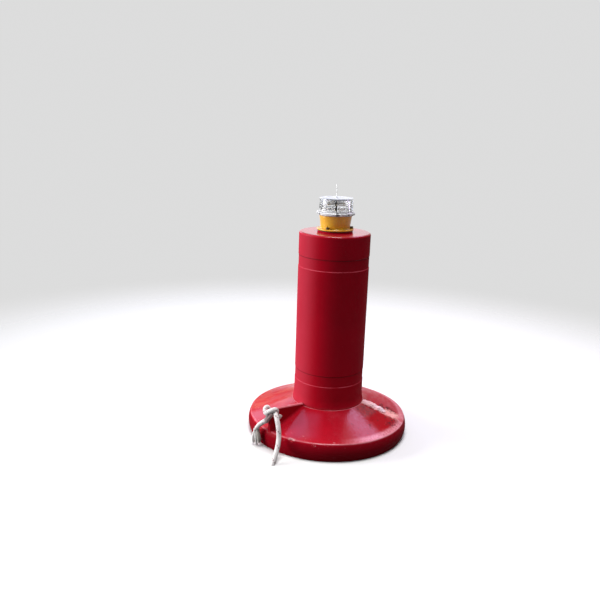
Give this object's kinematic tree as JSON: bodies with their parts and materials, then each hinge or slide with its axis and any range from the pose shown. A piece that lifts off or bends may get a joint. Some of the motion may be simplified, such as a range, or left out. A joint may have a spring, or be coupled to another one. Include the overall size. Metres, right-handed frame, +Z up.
{
  "type": "channel marker buoy with solar lantern",
  "caption": "Disc float with a conical deck, a tall banded column, a solar lantern, moulded lugs, a ballasted tail, a mooring shackle and a knotted rope.",
  "frame": {"origin": "on the buoy's vertical axis at the waterline", "axes": "+Z up along the axis, +Y away from the reader, +X to the right; the knotted lug points to the front left"},
  "size_m": [0.7, 0.7877, 1.558],
  "materials": {
    "red_plastic": "glossy moulded polyethylene, lightly scuffed",
    "torn_plastic": "torn, stress-whitened polyethylene",
    "ballast_iron": "tarred cast iron with rust at the edges",
    "galvanised_steel": "dull hot-dip galvanised",
    "black_rubber": "matt black rubber",
    "amber_plastic": "amber yellow moulding",
    "dark_steel": "darkened stainless steel",
    "clear_plastic": "clear moulded polycarbonate",
    "pale_plastic": "pale satin plastic",
    "dark_plastic": "matt black plastic and circuit board",
    "solar_cells": "dark blue solar cells",
    "bright_steel": "bright stainless wire",
    "braided_rope": "white braided cord with dark flecks"
  },
  "bodies": {
    "buoy": {"float_hull": "red_plastic", "column": "red_plastic", "lug_front": "red_plastic", "lug_rear": "red_plastic", "lug_stump": "torn_plastic", "tail_tube": "red_plastic", "ballast_plates": "ballast_iron", "base_plate": "galvanised_steel", "tie_bolts": "galvanised_steel", "lantern_pad": "black_rubber", "lantern_base": "amber_plastic", "lantern_screws": "dark_steel", "lens_seal": "black_rubber", "lantern_lens": "clear_plastic", "lamp_deck": "pale_plastic", "led_tower": "dark_plastic", "solar_panel": "solar_cells", "bird_spike": "bright_steel", "rope_knot": "braided_rope", "rope_hang": "braided_rope", "rope_tail": "braided_rope"},
    "shackle": {"shackle_bow": "galvanised_steel", "shackle_pin": "galvanised_steel"}
  },
  "joints": [
    {"name": "shackle_swing", "type": "hinge", "parent": "buoy", "child": "shackle", "pos_m": [0, 0, -0.40947], "axis": [1, 0, 0], "range_deg": [-90, 90]}
  ]
}
